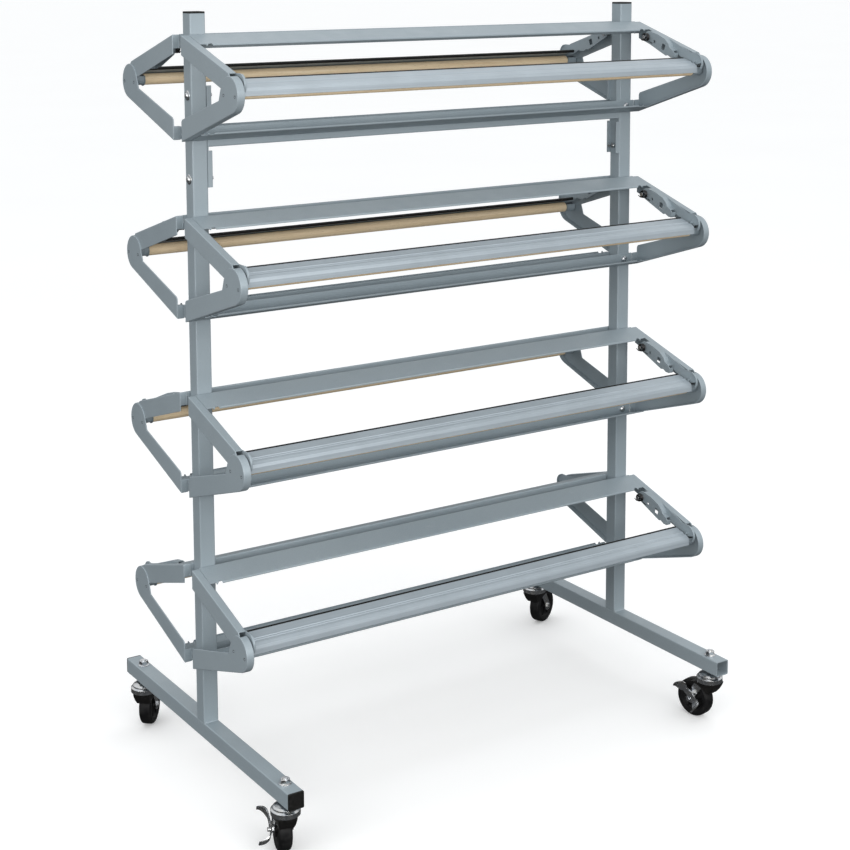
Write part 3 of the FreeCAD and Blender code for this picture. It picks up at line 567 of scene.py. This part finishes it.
def make_brace_washers():
    """Dished washers under the four bolts that hold the brace's channels to the posts."""
    brace_low, brace_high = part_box("cross_brace")
    mesh = bmesh.new()
    profile = [(0.0088, -0.0002), (0.0125, -0.0002), (0.0125, 0.0008), (0.0112, 0.0019), (0.0088, 0.0024)]
    for post, outward in (("left_post", -1), ("right_post", 1)):
        low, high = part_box(post)
        face_x = low.x if outward < 0 else high.x
        for z in (brace_high.z - BRACE_BOLTS[0], brace_low.z + BRACE_BOLTS[1]):
            place = along_x(face_x, (low.y + high.y) / 2, z) @ Matrix.Diagonal((1, outward, 1, 1))
            add_lathe(mesh, profile, place, 40)
    new_piece("brace_washers", mesh, "frame", "zinc")


# ---- stage --------------------------------------------------------------------------------------
FLOOR_SIZE = 600.0
SKY = ((0.42, 0.08), (0.54, 0.38), (0.66, 0.90), (1.0, 1.00))    # (height, brightness)


def make_stage():
    """A floor so large that its edge is out of sight."""
    data = bpy.data.meshes.new("studio_floor")
    mesh = bmesh.new()
    bmesh.ops.create_grid(mesh, x_segments=1, y_segments=1, size=FLOOR_SIZE)
    mesh.to_mesh(data)
    mesh.free()
    floor = bpy.data.objects.new("studio_floor", data)
    bpy.context.scene.collection.objects.link(floor)
    data.materials.append(studio_floor())
    floor.visible_diffuse = False
    floor.visible_glossy = False


def add_light(name, place, target, size, power):
    """A square area light at a place, turned to a target."""
    light = bpy.data.lights.new(name, "AREA")
    light.shape = "SQUARE"
    light.size = size
    light.energy = power
    lamp = bpy.data.objects.new(name, light)
    lamp.location = place
    lamp.rotation_euler = (Vector(target) - Vector(place)).to_track_quat("-Z", "Y").to_euler()
    bpy.context.scene.collection.objects.link(lamp)


def make_lights():
    """An even bright sky that darkens below the horizon, so undersides stay dark, and soft area lights."""
    world = bpy.data.worlds.new("studio")
    world.use_nodes = True
    nodes = world.node_tree.nodes
    links = world.node_tree.links
    split = nodes.new("ShaderNodeSeparateXYZ")
    links.new(nodes.new("ShaderNodeTexCoord").outputs["Generated"], split.inputs["Vector"])
    height = nodes.new("ShaderNodeMath")
    height.operation = "MULTIPLY_ADD"
    height.inputs[1].default_value = 0.5
    height.inputs[2].default_value = 0.5
    links.new(split.outputs["Z"], height.inputs[0])
    ramp = nodes.new("ShaderNodeValToRGB")
    elements = ramp.color_ramp.elements
    while len(elements) < len(SKY):
        elements.new(0.5)
    for element, (position, level) in zip(elements, SKY):
        element.position = position
        element.color = (level * 0.97, level * 0.985, level, 1.0)
    links.new(height.outputs["Value"], ramp.inputs["Fac"])
    links.new(ramp.outputs["Color"], nodes["Background"].inputs["Color"])
    nodes["Background"].inputs["Strength"].default_value = 1.0
    bpy.context.scene.world = world
    add_light("key", (0.2, -5.0, 2.6), (0.0, 0.0, 1.0), 3.0, 95.0)
    add_light("front_fill", (-2.6, -4.6, 1.7), (0.0, 0.0, 1.1), 2.0, 75.0)
    add_light("left_fill", (-4.8, -1.4, 2.0), (0.0, 0.0, 1.1), 3.0, 60.0)


# ---- camera -------------------------------------------------------------------------------------
CAMERA_FROM_POSTS = Vector((-2.3895, -3.6606, 2.0540))   # from the floor, midway between the posts
CAMERA_RIGHT = Vector((0.8360, -0.5487, -0.0028))
CAMERA_UP = Vector((0.0711, 0.1034, 0.9921))


def make_camera():
    """A shifted camera to the left of the rack's front, so that upright edges stay upright."""
    camera = bpy.data.cameras.new("camera")
    camera.sensor_width = 36.0
    camera.lens = 72.05
    camera.shift_x = -0.005
    camera.shift_y = -0.298
    camera.clip_end = 2000.0
    view = bpy.data.objects.new("camera", camera)
    right = CAMERA_RIGHT.normalized()
    back = right.cross(CAMERA_UP).normalized()
    up = back.cross(right)
    low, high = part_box("left_post")
    middle = Vector((middle_x(), (low.y + high.y) / 2, 0.0))
    turn = Matrix((right, up, back)).transposed().to_4x4()
    view.matrix_world = Matrix.Translation(middle + CAMERA_FROM_POSTS) @ turn
    bpy.context.scene.collection.objects.link(view)
    bpy.context.scene.camera = view
    bpy.context.scene.view_settings.view_transform = "Standard"


# ---- make everything ----------------------------------------------------------------------------
make_camera()
make_stage()
make_lights()
finish_nodes()
make_springs()
make_post_welds()
make_brace_washers()
for side_name, forward_sign in SIDES:
    for roll_level in LEVELS:
        make_bar_edging(side_name, forward_sign, roll_level)
        make_arm_screws(side_name, forward_sign, roll_level)
        make_rail_welds(side_name, forward_sign, roll_level)
        make_clinch_shade_rings(side_name, forward_sign, roll_level)
for corner_name in CORNERS:
    make_wheel(corner_name)
    make_crown_shade_block(corner_name)
